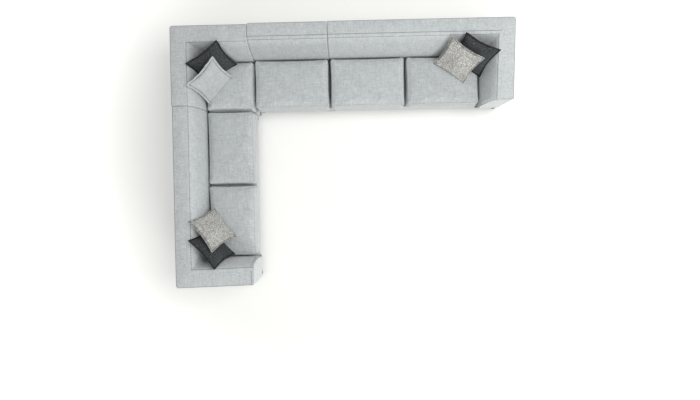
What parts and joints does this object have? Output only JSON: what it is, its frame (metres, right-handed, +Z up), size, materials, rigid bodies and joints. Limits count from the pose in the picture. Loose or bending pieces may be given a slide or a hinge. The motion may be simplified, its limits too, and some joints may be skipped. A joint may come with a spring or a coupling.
{
  "type": "sectional sofa",
  "caption": "L-shaped modular corner sofa with an arm at each end, loose seat cushions, low sloping backs and scatter pillows, on short legs.",
  "frame": {"origin": "on the floor, under the middle of the whole sofa's bounding box", "axes": "+X runs along the long row toward its arm, +Y points to that row's back, +Z is up"},
  "size_m": [3.7918, 2.8998, 0.8217],
  "materials": {
    "sofa_fabric": "matte",
    "charcoal_fabric": "matte",
    "light_pillow_fabric": "matte",
    "woven_fabric": "matte",
    "timber": "matte",
    "plywood": "matte",
    "webbing": "matte",
    "dust_cover": "matte",
    "legs": "satin",
    "steel": "satin"
  },
  "bodies": {
    "sofa_frame": {"corner_dust_cover": "dust_cover", "corner_base_frame": "timber", "corner_seat_webbing": "webbing", "corner_base_border": "sofa_fabric", "corner_back_boards": "plywood", "corner_back_pad": "sofa_fabric", "corner_side_back_pad": "sofa_fabric", "corner_leg_rear_left": "legs", "corner_leg_rear_right": "legs", "corner_leg_front_left": "legs", "corner_leg_front_right": "legs", "armless_dust_cover": "dust_cover", "armless_base_frame": "timber", "armless_seat_webbing": "webbing", "armless_base_border": "sofa_fabric", "armless_back_board": "plywood", "armless_back_pad": "sofa_fabric", "armless_leg_rear_left": "legs", "armless_leg_rear_right": "legs", "armless_leg_front_left": "legs", "armless_leg_front_right": "legs", "right_end_dust_cover": "dust_cover", "right_end_base_frame": "timber", "right_end_seat_webbing": "webbing", "right_end_base_border": "sofa_fabric", "right_end_back_board": "plywood", "right_end_arm_board": "plywood", "right_end_back_pad": "sofa_fabric", "right_end_arm_pad": "sofa_fabric", "right_end_leg_rear_left": "legs", "right_end_leg_rear_right": "legs", "right_end_leg_front_left": "legs", "right_end_leg_front_right": "legs", "wing_dust_cover": "dust_cover", "wing_base_frame": "timber", "wing_seat_webbing": "webbing", "wing_base_border": "sofa_fabric", "wing_back_board": "plywood", "wing_arm_board": "plywood", "wing_back_pad": "sofa_fabric", "wing_arm_pad": "sofa_fabric", "wing_leg_rear_left": "legs", "wing_leg_rear_right": "legs", "wing_leg_front_left": "legs", "wing_leg_front_right": "legs", "link_corner_armless": "steel", "link_armless_right_end": "steel", "link_corner_wing": "steel"},
    "corner_seat_cushion": {"corner_seat_cushion": "sofa_fabric"},
    "armless_seat_cushion": {"armless_seat_cushion": "sofa_fabric"},
    "right_end_seat_cushion_1": {"right_end_seat_cushion_1": "sofa_fabric"},
    "right_end_seat_cushion_2": {"right_end_seat_cushion_2": "sofa_fabric"},
    "wing_seat_cushion_1": {"wing_seat_cushion_1": "sofa_fabric"},
    "wing_seat_cushion_2": {"wing_seat_cushion_2": "sofa_fabric"},
    "pillow_corner_dark": {"pillow_corner_dark": "charcoal_fabric"},
    "pillow_corner_light": {"pillow_corner_light": "light_pillow_fabric"},
    "pillow_right_dark": {"pillow_right_dark": "charcoal_fabric"},
    "pillow_right_woven": {"pillow_right_woven": "woven_fabric"},
    "pillow_wing_dark": {"pillow_wing_dark": "charcoal_fabric"},
    "pillow_wing_woven": {"pillow_wing_woven": "woven_fabric"}
  },
  "joints": [
    {"name": "corner_seat_cushion_lift", "type": "slide", "parent": "sofa_frame", "child": "corner_seat_cushion", "axis": [0, 0, 1], "range_m": [0, 0.2]},
    {"name": "armless_seat_cushion_lift", "type": "slide", "parent": "sofa_frame", "child": "armless_seat_cushion", "axis": [0, 0, 1], "range_m": [0, 0.2]},
    {"name": "right_end_seat_cushion_1_lift", "type": "slide", "parent": "sofa_frame", "child": "right_end_seat_cushion_1", "axis": [0, 0, 1], "range_m": [0, 0.2]},
    {"name": "right_end_seat_cushion_2_lift", "type": "slide", "parent": "sofa_frame", "child": "right_end_seat_cushion_2", "axis": [0, 0, 1], "range_m": [0, 0.2]},
    {"name": "wing_seat_cushion_1_lift", "type": "slide", "parent": "sofa_frame", "child": "wing_seat_cushion_1", "axis": [0, 0, 1], "range_m": [0, 0.2]},
    {"name": "wing_seat_cushion_2_lift", "type": "slide", "parent": "sofa_frame", "child": "wing_seat_cushion_2", "axis": [0, 0, 1], "range_m": [0, 0.2]},
    {"name": "pillow_corner_dark_lift", "type": "slide", "parent": "corner_seat_cushion", "child": "pillow_corner_dark", "axis": [0, 0, 1], "range_m": [0, 0.3]},
    {"name": "pillow_corner_light_lift", "type": "slide", "parent": "pillow_corner_dark", "child": "pillow_corner_light", "axis": [0, 0, 1], "range_m": [0, 0.3]},
    {"name": "pillow_right_dark_lift", "type": "slide", "parent": "right_end_seat_cushion_2", "child": "pillow_right_dark", "axis": [0, 0, 1], "range_m": [0, 0.3]},
    {"name": "pillow_right_woven_lift", "type": "slide", "parent": "pillow_right_dark", "child": "pillow_right_woven", "axis": [0, 0, 1], "range_m": [0, 0.3]},
    {"name": "pillow_wing_dark_lift", "type": "slide", "parent": "wing_seat_cushion_1", "child": "pillow_wing_dark", "axis": [0, 0, 1], "range_m": [0, 0.3]},
    {"name": "pillow_wing_woven_lift", "type": "slide", "parent": "pillow_wing_dark", "child": "pillow_wing_woven", "axis": [0, 0, 1], "range_m": [0, 0.3]}
  ]
}
